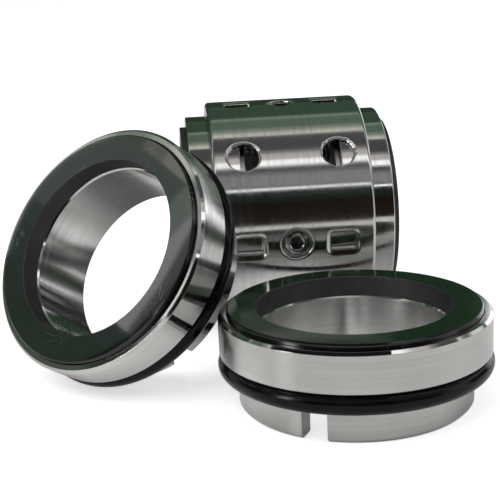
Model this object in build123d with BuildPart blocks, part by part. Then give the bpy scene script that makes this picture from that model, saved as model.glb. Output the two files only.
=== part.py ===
"""Double mechanical seal for a 50 mm shaft, in millimetres.

A double-ended rotary unit lies on its barrel, along X. One stationary seat lies flat in front of it
and an equal seat leans back against its left end. The origin is the centre of the shaft bore.
"""

from build123d import *
import math
import os

os.makedirs("parts", exist_ok=True)

# ---------------------------------------------------------------- driving dimensions

# shaft and drive shell
shaft_radius = 25.0
barrel_depth = 12.5  # from the shaft to the outside of the shell
shell_wall = 1.5
shell_length = 50.0
shell_corner = 1.2  # size of the rounding on the turned-in ends
lip_thickness = 1.5
row_tilt = 5.8  # the unit has rolled this far from square, degrees
row_count = 4

# drive collar and set screws
collar_width = 13.0
screw_radius = 3.95
screw_recess = 1.5  # gap between the screw's tip and the shaft
screw_sink = 1.0  # below the outside of the shell
screw_thread_clearance = 0.05
socket_across_flats = 4.0
socket_depth = 5.0
cup_radius = 2.6
cup_depth = 0.9
cup_taper = 45.0

# round holes through the shell, over the screws and beside them
hole_radius = 4.9
hole_chamfer = 1.1
side_hole_offset = 15.0  # from the middle of the unit

# pressed drive pockets
pocket_offset = 14.65
pocket_length = 8.5
pocket_width = 5.8
pocket_depth = 2.6
pocket_draft = 0.3
dish_length = 11.0
dish_width = 9.6
dish_depth = 0.7
dish_corner = 3.0
pocket_wall = 1.0

# rotary rings and their faces
nose_step = 4.5  # below the shell
nose_reach = 7.0  # beyond the shell's end
nose_edge = 0.5
lip_clearance = 0.3
flange_length = 7.6
flange_edge = 0.4
flange_clearance = 0.3
stop_clearance = 0.05
slot_clearance = 0.4
ring_clearance = 0.3  # on the shaft
nose_wall = 3.3  # around the face
rotary_face_clearance = 1.6  # on the shaft
rotary_face_length = 7.0
rotary_face_reach = 2.0  # beyond the nose
rotary_face_edge = 0.3

# shaft O-rings, as squeezed on the shaft, and thrust rings
shaft_o_ring_section = 3.3
shaft_o_ring_clearance = 0.1
o_ring_room = 0.7
thrust_ring_thickness = 1.5
thrust_ring_rim = 0.3  # outside the springs

# springs
spring_circle_depth = 5.5  # from the shaft to the springs' centres
spring_radius = 2.2
spring_wire = 0.8
spring_pitch = 1.9
spring_hole_clearance = 0.25
spring_end_clearance = 0.12
spring_hole_depth = 4.5
spring_spread = 15.0  # angle on each side of a round hole, degrees
spring_sides = 6  # straight steps in one coil

# stationary seats, measured from the tail end
seat_clearance = 1.45  # on the shaft
tail_wall = 6.05
head_step = 5.0  # outside the tail
head_start = 14.8
head_length = 11.1
tail_chamfer = 1.0
head_edge = 0.4
head_wall = 2.5  # around the face
seat_face_clearance = 2.0  # on the shaft
seat_face_thickness = 6.0
seat_face_reach = 1.4  # beyond the head
seat_face_edge = 0.4
seat_o_ring_section = 5.7
o_ring_groove_depth = 0.2
tail_length = 9.0  # up to the O-ring's groove
o_ring_sides = 12
notch_width = 7.0
notch_height = 8.8
bore_edge = 0.25

# where the seats lie
flat_seat_gap = 6.5  # from the shell to the flat seat
flat_notch_direction = -119.0
lean_azimuth = -131.9  # way the leaning seat faces, degrees about Z
lean_elevation = 32.6
lean_line = (-46.6, -39.9)  # point on the line along which it slides up to the rotary unit
lean_notch_direction = -45.0
resting_gap = 0.3  # between units that lean on one another
slide_step = 0.02  # smallest step towards another unit
approach = 50.0  # from where a seat slides up to the next unit

# ---------------------------------------------------------------- values that follow

shell_radius = shaft_radius + barrel_depth
shell_bore = shell_radius - shell_wall
screw_length = barrel_depth - screw_recess - screw_sink
shell_end = shell_length / 2
row_angles = [row_tilt + 360 / row_count * i for i in range(row_count)]
side_hole_angles = [angle + 180 / row_count for angle in row_angles]

nose_radius = shell_radius - nose_step
rotary_face_radius = nose_radius - nose_wall
rotary_face_bore = shaft_radius + rotary_face_clearance
flange_radius = shell_bore - flange_clearance
flange_front = shell_end - lip_thickness - stop_clearance
flange_back = flange_front - flange_length
nose_end = shell_end + nose_reach
rotary_face_end = nose_end + rotary_face_reach
rotary_face_back = rotary_face_end - rotary_face_length
ring_bore = shaft_radius + ring_clearance
o_ring_bore = shaft_radius + shaft_o_ring_clearance
o_ring_groove_radius = o_ring_bore + shaft_o_ring_section
o_ring_groove_end = flange_back + shaft_o_ring_section + o_ring_room

boss_inner_length = pocket_length - 2 * pocket_draft + 2 * pocket_wall
boss_inner_width = pocket_width - 2 * pocket_draft + 2 * pocket_wall
boss_outer_length = boss_inner_length + 2 * pocket_draft
boss_outer_width = boss_inner_width + 2 * pocket_draft
boss_depth = pocket_depth + pocket_wall
slot_floor = shell_radius - boss_depth - slot_clearance
slot_width = boss_outer_width + 2 * slot_clearance

thrust_ring_back = flange_back - thrust_ring_thickness
spring_circle_radius = shaft_radius + spring_circle_depth
thrust_ring_radius = spring_circle_radius + spring_radius + thrust_ring_rim
spring_start = collar_width / 2 - spring_hole_depth
spring_angles = [
    angle + sign * spring_spread for angle in side_hole_angles for sign in (-1, 1)
]

seat_bore = shaft_radius + seat_clearance
tail_radius = seat_bore + tail_wall
head_radius = tail_radius + head_step
seat_face_radius = head_radius - head_wall
seat_face_bore = shaft_radius + seat_face_clearance
o_ring_land_radius = tail_radius - o_ring_groove_depth
head_end = head_start + head_length
seat_face_end = head_end + seat_face_reach
seat_face_back = seat_face_end - seat_face_thickness
seat_o_ring_centre = (tail_length + head_start) / 2
seat_o_ring_radius = o_ring_land_radius + seat_o_ring_section / 2
floor = -shell_radius
flat_seat_offset = -(shell_radius + flat_seat_gap + head_radius)


# ---------------------------------------------------------------- helpers


def radial_plane(offset, angle, radius):
    """Plane that faces out from the barrel, with its x along the shaft."""
    outward = Vector(0, math.cos(math.radians(angle)), math.sin(math.radians(angle)))
    return Plane(
        origin=Vector(offset, 0, 0) + outward * radius, x_dir=(1, 0, 0), z_dir=outward
    )


def section_plane(base):
    """Plane through a seat's axis: x is the radius and y runs from the tail to the face."""
    return Plane(origin=base.origin, x_dir=base.x_dir, z_dir=-base.y_dir)


def polar_point(offset, angle, radius):
    """Point at an angle around the shaft."""
    return radial_plane(offset, angle, radius).origin


# ---------------------------------------------------------------- drive shell

# the ends are spun over the rings, and their corner is rounded in two steps
corner_steps = [
    (0, shell_corner),
    (shell_corner * (1 - math.cos(math.pi / 4)), shell_corner * (1 - math.sin(math.pi / 4))),
    (shell_corner, 0),
]

with BuildPart() as drive_shell:
    with BuildSketch(Plane.XY):
        with BuildLine():
            Polyline(
                (-shell_end, nose_radius + lip_clearance),
                *[(x - shell_end, shell_radius - y) for x, y in corner_steps],
                *[(shell_end - x, shell_radius - y) for x, y in reversed(corner_steps)],
                (shell_end, nose_radius + lip_clearance),
                (shell_end - lip_thickness, nose_radius + lip_clearance),
                (shell_end - lip_thickness, shell_bore),
                (lip_thickness - shell_end, shell_bore),
                (lip_thickness - shell_end, nose_radius + lip_clearance),
                close=True,
            )
        make_face()
    revolve(axis=Axis.X)

    # the pressed pockets stand inside the wall as drive bosses
    pocket_places = [
        (side * pocket_offset, angle) for side in (-1, 1) for angle in row_angles
    ]
    for offset, angle in pocket_places:
        with BuildSketch(radial_plane(offset, angle, shell_radius - shell_wall / 2)):
            Rectangle(boss_outer_length, boss_outer_width)
        with BuildSketch(radial_plane(offset, angle, shell_radius - boss_depth)):
            Rectangle(boss_inner_length, boss_inner_width)
        loft()
    for offset, angle in pocket_places:
        with BuildSketch(radial_plane(offset, angle, shell_radius)):
            RectangleRounded(dish_length, dish_width, dish_corner)
        with BuildSketch(radial_plane(offset, angle, shell_radius - dish_depth)):
            Rectangle(pocket_length, pocket_width)
        loft(mode=Mode.SUBTRACT)
        with BuildSketch(radial_plane(offset, angle, shell_radius - dish_depth)):
            Rectangle(pocket_length, pocket_width)
        with BuildSketch(radial_plane(offset, angle, shell_radius - pocket_depth)):
            Rectangle(pocket_length - 2 * pocket_draft, pocket_width - 2 * pocket_draft)
        loft(mode=Mode.SUBTRACT)

    # drilled and deburred holes: one over each screw, and a pair in each row between
    hole_places = [(0, angle) for angle in row_angles] + [
        (side * side_hole_offset, angle) for side in (-1, 1) for angle in side_hole_angles
    ]
    for offset, angle in hole_places:
        with Locations(Location(radial_plane(offset, angle, shell_radius))):
            Hole(radius=hole_radius, depth=shell_radius / 2)
            CounterSinkHole(
                radius=hole_radius,
                counter_sink_radius=hole_radius + hole_chamfer,
                depth=shell_radius / 2,
            )

drive_shell.part.label = "drive_shell"
export_step(drive_shell.part, "parts/drive_shell.step")


# ---------------------------------------------------------------- drive collar

with BuildPart() as drive_collar:
    with BuildSketch(Plane.YZ.offset(-collar_width / 2)):
        Circle(shell_bore)
        Circle(shaft_radius, mode=Mode.SUBTRACT)
    extrude(amount=collar_width)
    with Locations(*[Location(radial_plane(0, angle, shell_bore)) for angle in row_angles]):
        Hole(radius=screw_radius + screw_thread_clearance, depth=shell_bore - shaft_radius / 2)
    for side in (-1, 1):
        spring_floor = Plane.YZ.offset(side * spring_start)
        with BuildSketch(spring_floor):
            with Locations(*[spring_floor.to_local_coords(
                polar_point(side * spring_start, angle, spring_circle_radius)
            ) for angle in spring_angles]):
                Circle(spring_radius + spring_hole_clearance)
        extrude(amount=side * spring_hole_depth, mode=Mode.SUBTRACT)

drive_collar.part.label = "drive_collar"
export_step(drive_collar.part, "parts/drive_collar.step")

# ---------------------------------------------------------------- set screws

screw_tip = shaft_radius + screw_recess
for index, angle in enumerate(row_angles):
    with BuildPart() as set_screw:
        with BuildSketch(radial_plane(0, angle, screw_tip)):
            Circle(screw_radius)
        extrude(amount=screw_length)
        with BuildSketch(radial_plane(0, angle, screw_tip + screw_length)):
            RegularPolygon(radius=socket_across_flats / 2, side_count=6, major_radius=False)
        extrude(amount=-socket_depth, mode=Mode.SUBTRACT)
        with BuildSketch(radial_plane(0, angle, screw_tip)):
            Circle(cup_radius)
        extrude(amount=cup_depth, taper=cup_taper, mode=Mode.SUBTRACT)
    set_screw.part.label = f"set_screw_{index + 1}"
    export_step(set_screw.part, f"parts/set_screw_{index + 1}.step")

# ---------------------------------------------------------------- rotary ends

# half-sized corners of the squeezed O-ring's section
flat = math.tan(math.pi / 8)
squeezed_section = [
    (flat, 1), (1, flat), (1, -flat), (flat, -1), (-flat, -1), (-1, -flat), (-1, flat), (-flat, 1)
]


def turned(points):
    """Solid of revolution about the shaft from points of (place along the shaft, radius)."""
    with BuildPart() as piece:
        with BuildSketch(Plane.XY):
            with BuildLine():
                Polyline(*points, close=True)
            make_face()
        revolve(axis=Axis.X)
    return piece.part


def spring(start, end, wire):
    """Helical spring along X from its start to its end, in straight steps."""
    coil_radius = spring_radius - wire / 2
    travel = end - start - math.copysign(wire + 2 * spring_end_clearance, end - start)
    steps = round(abs(travel) / spring_pitch * spring_sides)
    path_points = [
        (
            (start + end - travel) / 2 + travel * i / steps,
            coil_radius * math.cos(2 * math.pi * i / spring_sides),
            coil_radius * math.sin(2 * math.pi * i / spring_sides),
        )
        for i in range(steps + 1)
    ]
    with BuildPart() as coil:
        with BuildLine() as path:
            Polyline(*path_points)
        with BuildSketch(Plane(origin=path_points[0], z_dir=path.line % 0)):
            Rectangle(wire, wire)
        sweep(path=path.line, transition=Transition.RIGHT)
    return coil.part


for side, name in ((-1, "left"), (1, "right")):
    # metal holder: a flange behind the shell's lip, a nose that sticks out, an O-ring groove inside
    ring_blank = turned(
        [
            (side * flange_back, o_ring_groove_radius),
            (side * flange_back, flange_radius - flange_edge),
            (side * (flange_back + flange_edge), flange_radius),
            (side * flange_front, flange_radius),
            (side * flange_front, nose_radius),
            (side * (nose_end - nose_edge), nose_radius),
            (side * nose_end, nose_radius - nose_edge),
            (side * nose_end, rotary_face_radius),
            (side * rotary_face_back, rotary_face_radius),
            (side * rotary_face_back, ring_bore),
            (side * o_ring_groove_end, ring_bore),
            (side * o_ring_groove_end, o_ring_groove_radius),
        ]
    )
    with BuildPart() as rotary_ring:
        add(ring_blank)
        for angle in row_angles:
            with BuildSketch(radial_plane(side * flange_back, angle, slot_floor)):
                Rectangle(2 * (shell_end - flange_back), slot_width)
            extrude(amount=flange_radius - slot_floor, mode=Mode.SUBTRACT)
    rotary_ring.part.label = f"{name}_rotary_ring"
    export_step(rotary_ring.part, f"parts/{name}_rotary_ring.step")

    rotary_face = turned(
        [
            (side * rotary_face_back, rotary_face_bore),
            (side * rotary_face_back, rotary_face_radius),
            (side * (rotary_face_end - rotary_face_edge), rotary_face_radius),
            (side * rotary_face_end, rotary_face_radius - rotary_face_edge),
            (side * rotary_face_end, rotary_face_bore),
        ]
    )
    rotary_face.label = f"{name}_rotary_face"
    export_step(rotary_face, f"parts/{name}_rotary_face.step")

    # the O-ring is squeezed between the shaft and its groove, so its section has flats
    shaft_o_ring = turned(
        [
            (
                side * (flange_back + shaft_o_ring_section * (0.5 + 0.5 * x)),
                o_ring_bore + shaft_o_ring_section * (0.5 + 0.5 * y),
            )
            for x, y in squeezed_section
        ]
    )
    shaft_o_ring.label = f"{name}_shaft_o_ring"
    export_step(shaft_o_ring, f"parts/{name}_shaft_o_ring.step")

    thrust_ring = turned(
        [
            (side * thrust_ring_back, ring_bore),
            (side * thrust_ring_back, thrust_ring_radius),
            (side * flange_back, thrust_ring_radius),
            (side * flange_back, ring_bore),
        ]
    )
    thrust_ring.label = f"{name}_thrust_ring"
    export_step(thrust_ring, f"parts/{name}_thrust_ring.step")

    one_spring = spring(side * spring_start, side * thrust_ring_back, spring_wire)
    with BuildPart() as springs:
        with Locations(
            *[Location(polar_point(0, angle, spring_circle_radius)) for angle in spring_angles]
        ):
            add(one_spring)
    springs.part.label = f"{name}_springs"
    export_step(springs.part, f"parts/{name}_springs.step")

# ---------------------------------------------------------------- stationary seats


def seat_pieces(base, notch_direction):
    """Holder, face and O-ring of a seat whose tail ends on the base plane."""
    with BuildPart() as ring:
        with BuildSketch(section_plane(base)):
            with BuildLine():
                Polyline(
                    (seat_bore, bore_edge),
                    (seat_bore + bore_edge, 0),
                    (tail_radius - tail_chamfer, 0),
                    (tail_radius, tail_chamfer),
                    (tail_radius, tail_length),
                    (o_ring_land_radius, tail_length),
                    (o_ring_land_radius, head_start),
                    (head_radius - head_edge, head_start),
                    (head_radius, head_start + head_edge),
                    (head_radius, head_end - head_edge),
                    (head_radius - head_edge, head_end),
                    (seat_face_radius, head_end),
                    (seat_face_radius, seat_face_back),
                    (seat_bore + bore_edge, seat_face_back),
                    (seat_bore, seat_face_back - bore_edge),
                    close=True,
                )
            make_face()
        revolve(axis=Axis(base.origin, base.z_dir))
        with BuildSketch(base.rotated((0, 0, notch_direction))):
            with Locations(((seat_bore + tail_radius) / 2, 0)):
                Rectangle(2 * (tail_radius - seat_bore), notch_width)
        extrude(amount=notch_height, mode=Mode.SUBTRACT)

    with BuildPart() as face:
        with BuildSketch(section_plane(base)):
            with BuildLine():
                Polyline(
                    (seat_face_bore, seat_face_back),
                    (seat_face_radius, seat_face_back),
                    (seat_face_radius, seat_face_end - seat_face_edge),
                    (seat_face_radius - seat_face_edge, seat_face_end),
                    (seat_face_bore + bore_edge, seat_face_end),
                    (seat_face_bore, seat_face_end - bore_edge),
                    close=True,
                )
            make_face()
        revolve(axis=Axis(base.origin, base.z_dir))

    with BuildPart() as o_ring:
        with BuildSketch(section_plane(base)):
            with Locations((seat_o_ring_radius, seat_o_ring_centre)):
                RegularPolygon(
                    radius=seat_o_ring_section / 2,
                    side_count=o_ring_sides,
                    major_radius=False,
                    rotation=180 / o_ring_sides,
                )
        revolve(axis=Axis(base.origin, base.z_dir))
    return {"ring": ring.part, "face": face.part, "o_ring": o_ring.part}


def seat_envelope(base):
    """Plain outer form of a seat, to find where it comes to rest against another unit."""
    with BuildPart() as envelope:
        with BuildSketch(section_plane(base)):
            with BuildLine():
                Polyline(
                    (0, 0),
                    (tail_radius, 0),
                    (tail_radius, head_start),
                    (head_radius, head_start),
                    (head_radius, head_end),
                    (seat_face_radius, head_end),
                    (seat_face_radius, seat_face_end),
                    (0, seat_face_end),
                    close=True,
                )
            make_face()
            with Locations((seat_o_ring_radius, seat_o_ring_centre)):
                Circle(seat_o_ring_section / 2)
        revolve(axis=Axis(base.origin, base.z_dir))
    return envelope.part


def slide_up_to(piece, target, direction):
    """Move that brings a piece along a direction until the resting gap is all that is left."""
    move = Vector(0, 0, 0)
    spare = piece.distance_to(target) - resting_gap
    while spare > slide_step:
        move += direction * spare
        spare = (Pos(*move) * piece).distance_to(target) - resting_gap
    return move


rotary_envelope = turned(
    [
        (-rotary_face_end, 0),
        (-rotary_face_end, rotary_face_radius),
        (-nose_end, rotary_face_radius),
        (-nose_end, nose_radius),
        (-shell_end, nose_radius),
        (-shell_end, shell_radius),
        (shell_end, shell_radius),
        (shell_end, 0),
    ]
)

# the leaning seat stands on its tail's rim and touches the rotary unit's left end
lean = math.radians(lean_elevation)
facing = Vector(
    math.cos(math.radians(lean_azimuth)) * math.cos(lean),
    math.sin(math.radians(lean_azimuth)) * math.cos(lean),
    math.sin(lean),
)
o_ring_drop = seat_o_ring_radius * math.cos(lean) + seat_o_ring_section / 2
lean_height = max(
    tail_radius * math.cos(lean), o_ring_drop - seat_o_ring_centre * math.sin(lean)
)
leaning_back = Vector(-facing.X, -facing.Y, 0).normalized()
lean_start = Vector(*lean_line, floor + lean_height) - leaning_back * approach
lean_start_plane = Plane(lean_start, x_dir=Vector(0, 0, 1).cross(facing), z_dir=facing)
lean_move = slide_up_to(seat_envelope(lean_start_plane), rotary_envelope, leaning_back)
lean_plane = Plane(lean_start + lean_move, x_dir=lean_start_plane.x_dir, z_dir=facing)

# the flat seat stands on its tail and is pushed up to the leaning one
flat_start = Vector(approach, flat_seat_offset, floor)
flat_move = slide_up_to(
    seat_envelope(Plane(flat_start)), seat_envelope(lean_plane), Vector(-1, 0, 0)
)
flat_plane = Plane(flat_start + flat_move)

for name, plane, notch_direction in (
    ("flat_seat", flat_plane, flat_notch_direction),
    ("leaning_seat", lean_plane, lean_notch_direction),
):
    for piece_name, piece in seat_pieces(plane, notch_direction).items():
        piece.label = f"{name}_{piece_name}"
        export_step(piece, f"parts/{name}_{piece_name}.step")
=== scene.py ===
"""Looks of the double mechanical seal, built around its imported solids.

Turned pieces are meshes spun about their own Z axis with exact normals. The object's lengths are in
millimetres until they reach a mesh, which is in metres. The studio's lengths are in metres.
"""

import bpy
import math
import numpy as np
from mathutils import Matrix, Vector


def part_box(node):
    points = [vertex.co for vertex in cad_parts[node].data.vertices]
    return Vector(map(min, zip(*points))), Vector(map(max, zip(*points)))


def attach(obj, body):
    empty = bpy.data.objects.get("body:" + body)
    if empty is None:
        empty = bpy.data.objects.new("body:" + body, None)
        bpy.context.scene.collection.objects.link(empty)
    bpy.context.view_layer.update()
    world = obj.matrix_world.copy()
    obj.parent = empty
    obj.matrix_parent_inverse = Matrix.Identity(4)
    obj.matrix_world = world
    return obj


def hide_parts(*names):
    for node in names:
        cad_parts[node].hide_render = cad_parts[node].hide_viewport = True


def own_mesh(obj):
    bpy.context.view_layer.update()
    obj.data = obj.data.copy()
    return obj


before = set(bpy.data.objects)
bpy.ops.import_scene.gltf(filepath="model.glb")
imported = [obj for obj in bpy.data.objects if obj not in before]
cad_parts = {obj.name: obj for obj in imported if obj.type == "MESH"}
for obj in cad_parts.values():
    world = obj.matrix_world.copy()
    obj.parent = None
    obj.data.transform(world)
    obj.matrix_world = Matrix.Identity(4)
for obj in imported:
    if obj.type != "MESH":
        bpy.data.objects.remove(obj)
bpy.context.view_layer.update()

MM = 0.001
TURN = 2 * math.pi

# ---------------------------------------------------------------- sizes, as in the part's source

SHELL_RADIUS, SHELL_BORE, SHELL_END = 37.5, 36.0, 25.0
SHELL_CORNER, LIP, LIP_BORE, LIP_EDGE = 1.2, 1.5, 33.3, 0.15
ROW_TILT, ROWS = 5.8, 4
ROW_ANGLES = [ROW_TILT + 360 / ROWS * i for i in range(ROWS)]
SIDE_ANGLES = [angle + 180 / ROWS for angle in ROW_ANGLES]
HOLE_RADIUS, HOLE_CHAMFER, SIDE_HOLE_OFFSET = 4.9, 1.1, 15.0
POCKET_OFFSET, POCKET, POCKET_DEPTH, POCKET_WALL = 14.65, (8.5, 5.8), 2.6, 1.0
POCKET_CORNER, POCKET_SLOPE = 0.45, 0.42
DISH, DISH_DEPTH, DISH_CORNER = (11.0, 9.6), 0.7, 3.0
BULGE, BULGE_CORNER, BULGE_SLOPE = 0.7, 0.8, 0.6  # a pocket seen from inside the shell

SCREW_RADIUS, SCREW_TIP, SCREW_LENGTH, SCREW_CHAMFER = 3.95, 26.5, 10.0, 0.75
SOCKET_FLATS, SOCKET_DEPTH, THREAD_PITCH, THREAD_DEPTH = 4.0, 5.0, 1.25, 0.62

FLANGE_BACK, FLANGE_FRONT, FLANGE_RADIUS = 15.85, 23.45, 35.7
NOSE_END, NOSE_RADIUS, RING_BORE = 32.0, 33.0, 25.3
GROOVE_RADIUS, GROOVE_END = 28.4, 19.85
ROTARY_FACE_END, ROTARY_FACE_BACK, ROTARY_FACE_RADIUS, ROTARY_FACE_BORE = 34.0, 27.0, 29.7, 26.6
SLOT_FLOOR, SLOT_WIDTH = 33.5, 8.6
SHAFT_RING_SECTION, SHAFT_RING_BORE, SHAFT_RING_CORNER = 3.3, 25.1, 1.1
THRUST_BACK, THRUST_RADIUS = 14.35, 33.0

SPRING_CIRCLE, SPRING_RADIUS, SPRING_WIRE, SPRING_START = 30.5, 2.2, 0.8, 2.0
SPRING_PITCH, SPRING_SPREAD, SPRING_GAP = 1.9, 15.0, 0.12

SEAT_BORE, TAIL_RADIUS, HEAD_RADIUS, HEAD_START, HEAD_END = 26.45, 32.5, 37.5, 14.8, 25.9
TAIL_CHAMFER, TAIL_LENGTH, LAND_RADIUS = 1.0, 9.0, 32.3
SEAT_FACE_RADIUS, SEAT_FACE_BORE, SEAT_FACE_BACK, SEAT_FACE_END = 35.0, 27.0, 21.3, 27.3
SEAT_RING_SECTION, SEAT_RING_CENTRE = 5.7, 11.9
NOTCH_WIDTH, NOTCH_HEIGHT, RIM_CHAMFER, LEDGE_CHAMFER = 7.0, 8.8, 0.8, 0.45
EDGE_BREAK, HEAD_BREAK = 0.25, 0.4
FLAT_NOTCH, LEAN_NOTCH = -119.0, -45.0
LEAN_AZIMUTH, LEAN_ELEVATION = math.radians(-131.9), math.radians(32.6)

SKIN = 0.02  # keeps two seated faces apart


# ---------------------------------------------------------------- meshes


def rounded(corners, size=0.06, steps=3):
    """Closed profile of (radius, place) corners, anticlockwise, as rows (radius, place, normal, normal).

    A corner may carry its own rounding as a third value."""
    rows = []
    count = len(corners)
    for i, corner in enumerate(corners):
        before, here, after = (Vector(corners[(i + k) % count][:2]) for k in (-1, 0, 1))
        into, out = (here - before), (after - here)
        reach = min(into.length, out.length) * 0.45
        into.normalize()
        out.normalize()
        turn = math.atan2(into.x * out.y - into.y * out.x, into.dot(out))
        radius = corner[2] if len(corner) > 2 else size
        back = min(radius * abs(math.tan(turn / 2)), reach)
        radius = back / max(abs(math.tan(turn / 2)), 1e-9)
        start = math.atan2(-into.x, into.y)
        side = 1 if turn > 0 else -1
        centre = here - into * back - Vector((math.cos(start), math.sin(start))) * radius * side
        for k in range(steps + 1):
            angle = start + turn * k / steps
            normal = (math.cos(angle), math.sin(angle))
            rows.append(
                (centre.x + normal[0] * radius * side, centre.y + normal[1] * radius * side, *normal)
            )
    return np.array(rows)


def mesh_object(name, points, faces, matrix, smooth=True):
    """Object made about its own frame, in millimetres; dress() moves its mesh to the row's places."""
    mesh = bpy.data.meshes.new(name)
    mesh.from_pydata([tuple(p) for p in np.asarray(points) * MM], [], [tuple(map(int, f)) for f in faces])
    mesh.update()
    if smooth:
        mesh.shade_smooth()
    else:
        mesh.shade_flat()
    obj = bpy.data.objects.new(name, mesh)
    obj.matrix_world = matrix
    bpy.context.scene.collection.objects.link(obj)
    return obj


def grid_faces(rows, columns):
    """Quads of a grid closed both ways, whose points are numbered column by column."""
    i = np.arange(rows)
    j = np.arange(columns)[:, None]
    a = j * rows + i
    b = j * rows + (i + 1) % rows
    c = (j + 1) % columns * rows + (i + 1) % rows
    d = (j + 1) % columns * rows + i
    return np.stack([a, d, c, b], axis=-1).reshape(-1, 4)


def stack_faces(levels, around, flipped=False):
    """Faces of loops of points that lie one above the other, with a cap at each end."""
    faces = []
    for k in range(levels - 1):
        for j in range(around):
            n = (j + 1) % around
            faces.append([k * around + j, k * around + n, (k + 1) * around + n, (k + 1) * around + j])
    faces.append(list(range(around))[::-1])
    faces.append([(levels - 1) * around + j for j in range(around)])
    return [face[:1] + face[:0:-1] for face in faces] if flipped else faces


def lathe(name, profile, matrix, segments=240):
    """Ring from a rounded profile, with the profile's own normals."""
    angles = np.arange(segments) * TURN / segments
    cos, sin = np.cos(angles)[:, None], np.sin(angles)[:, None]
    r, z, nr, nz = profile.T
    level = np.ones_like(cos)
    points = np.stack([r * cos, r * sin, z * level], axis=-1).reshape(-1, 3)
    normals = np.stack([nr * cos, nr * sin, nz * level], axis=-1).reshape(-1, 3)
    obj = mesh_object(name, points, grid_faces(len(profile), segments), matrix)
    obj.data.normals_split_custom_set_from_vertices([tuple(n) for n in normals])
    return obj


def cut(obj, cutters):
    """Takes the cutters out of the object and removes them."""
    for cutter in cutters:
        modifier = obj.modifiers.new("cut", "BOOLEAN")
        modifier.operation = "DIFFERENCE"
        modifier.solver = "MANIFOLD"
        modifier.object = cutter
    bpy.context.view_layer.update()
    graph = bpy.context.evaluated_depsgraph_get()
    mesh = bpy.data.meshes.new_from_object(obj.evaluated_get(graph))
    obj.modifiers.clear()
    old, obj.data = obj.data, mesh
    mesh.name = old.name
    bpy.data.meshes.remove(old)
    for cutter in cutters:
        bpy.data.objects.remove(cutter)
    return obj


def corner_facts(mesh):
    """Corner places in millimetres, the face that each corner is in, and the faces' normals."""
    co = np.zeros(len(mesh.vertices) * 3)
    mesh.vertices.foreach_get("co", co)
    at = np.zeros(len(mesh.loops), int)
    mesh.loops.foreach_get("vertex_index", at)
    normals = np.zeros(len(mesh.polygons) * 3)
    mesh.polygons.foreach_get("normal", normals)
    totals = np.zeros(len(mesh.polygons), int)
    mesh.polygons.foreach_get("loop_total", totals)
    face = np.repeat(np.arange(len(totals)), totals)
    return co.reshape(-1, 3)[at] / MM, face, normals.reshape(-1, 3)


def set_normals(obj, surface, keep_over=0.8):
    """Gives each corner the normal of surface(points, face normals), where that is near its face's own."""
    mesh = obj.data
    points, face, normals = corner_facts(mesh)
    own = normals[face]
    exact = surface(points, own)
    good = (exact * own).sum(1) > keep_over
    exact[~good] = own[~good]
    mesh.shade_smooth()
    mesh.normals_split_custom_set([tuple(n) for n in exact])
    return obj


def turned_surface(profile):
    """Normals of a lathe's surface at points that lie on it."""

    def surface(points, own):
        radius = np.hypot(points[:, 0], points[:, 1])
        out = points[:, :2] / np.maximum(radius, 1e-9)[:, None]
        own_r = (own[:, :2] * out).sum(1)
        best = np.full(len(points), np.inf)
        found = np.zeros((len(points), 2))
        for first, second in zip(profile, np.roll(profile, -1, axis=0)):
            edge = second[:2] - first[:2]
            length = max(edge @ edge, 1e-12)
            gap = np.stack([radius, points[:, 2]], axis=1) - first[:2]
            t = np.clip(gap @ edge / length, 0, 1)[:, None]
            miss = ((gap - t * edge) ** 2).sum(1)
            normal = first[2:] * (1 - t) + second[2:] * t
            miss += 4 * np.maximum(0, 0.9 - normal[:, 0] * own_r - normal[:, 1] * own[:, 2])
            closer = miss < best
            best[closer] = miss[closer]
            found[closer] = normal[closer]
        exact = np.c_[out * found[:, :1], found[:, 1]]
        return exact / np.maximum(np.linalg.norm(exact, axis=1), 1e-9)[:, None]

    return surface


def block(size, matrix):
    """Box for cutting, sized in millimetres about its own centre."""
    x, y, z = (s / 2 for s in size)
    points = [(sx * x, sy * y, sz * z) for sx in (-1, 1) for sy in (-1, 1) for sz in (-1, 1)]
    faces = [(0, 1, 3, 2), (4, 6, 7, 5), (0, 4, 5, 1), (2, 3, 7, 6), (0, 2, 6, 4), (1, 5, 7, 3)]
    return mesh_object("cutter", points, faces, matrix, smooth=False)


def spindle(rows, matrix, segments=96, ripple=None):
    """Solid of revolution for cutting, from (radius, place) rows; ripple changes the inner rows' radius."""
    points = []
    for k, (r, z) in enumerate(rows):
        for angle in np.arange(segments) * TURN / segments:
            radius = r + (ripple(angle) if ripple and 0 < k < len(rows) - 1 else 0)
            points.append((radius * math.cos(angle), radius * math.sin(angle), z))
    return mesh_object("cutter", points, stack_faces(len(rows), segments), matrix)


# ---------------------------------------------------------------- places

box_low, box_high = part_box("drive_collar")
BARREL = Matrix.Translation((box_low + box_high) / 2) @ Matrix(
    ((0, 0, 1, 0), (1, 0, 0, 0), (0, 1, 0, 0), (0, 0, 0, 1))
)  # the barrel's own Z is the shaft, +X

box_low, box_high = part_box("flat_seat_o_ring")
FLAT = Matrix.Translation((box_low + box_high) / 2 - Vector((0, 0, SEAT_RING_CENTRE * MM)))

facing = Vector(
    (
        math.cos(LEAN_AZIMUTH) * math.cos(LEAN_ELEVATION),
        math.sin(LEAN_AZIMUTH) * math.cos(LEAN_ELEVATION),
        math.sin(LEAN_ELEVATION),
    )
)
sideways = Vector((0, 0, 1)).cross(facing).normalized()
box_low, box_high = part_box("leaning_seat_o_ring")
LEAN = (
    Matrix.Translation((box_low + box_high) / 2 - facing * SEAT_RING_CENTRE * MM)
    @ Matrix((sideways, facing.cross(sideways), facing)).transposed().to_4x4()
)


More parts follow.
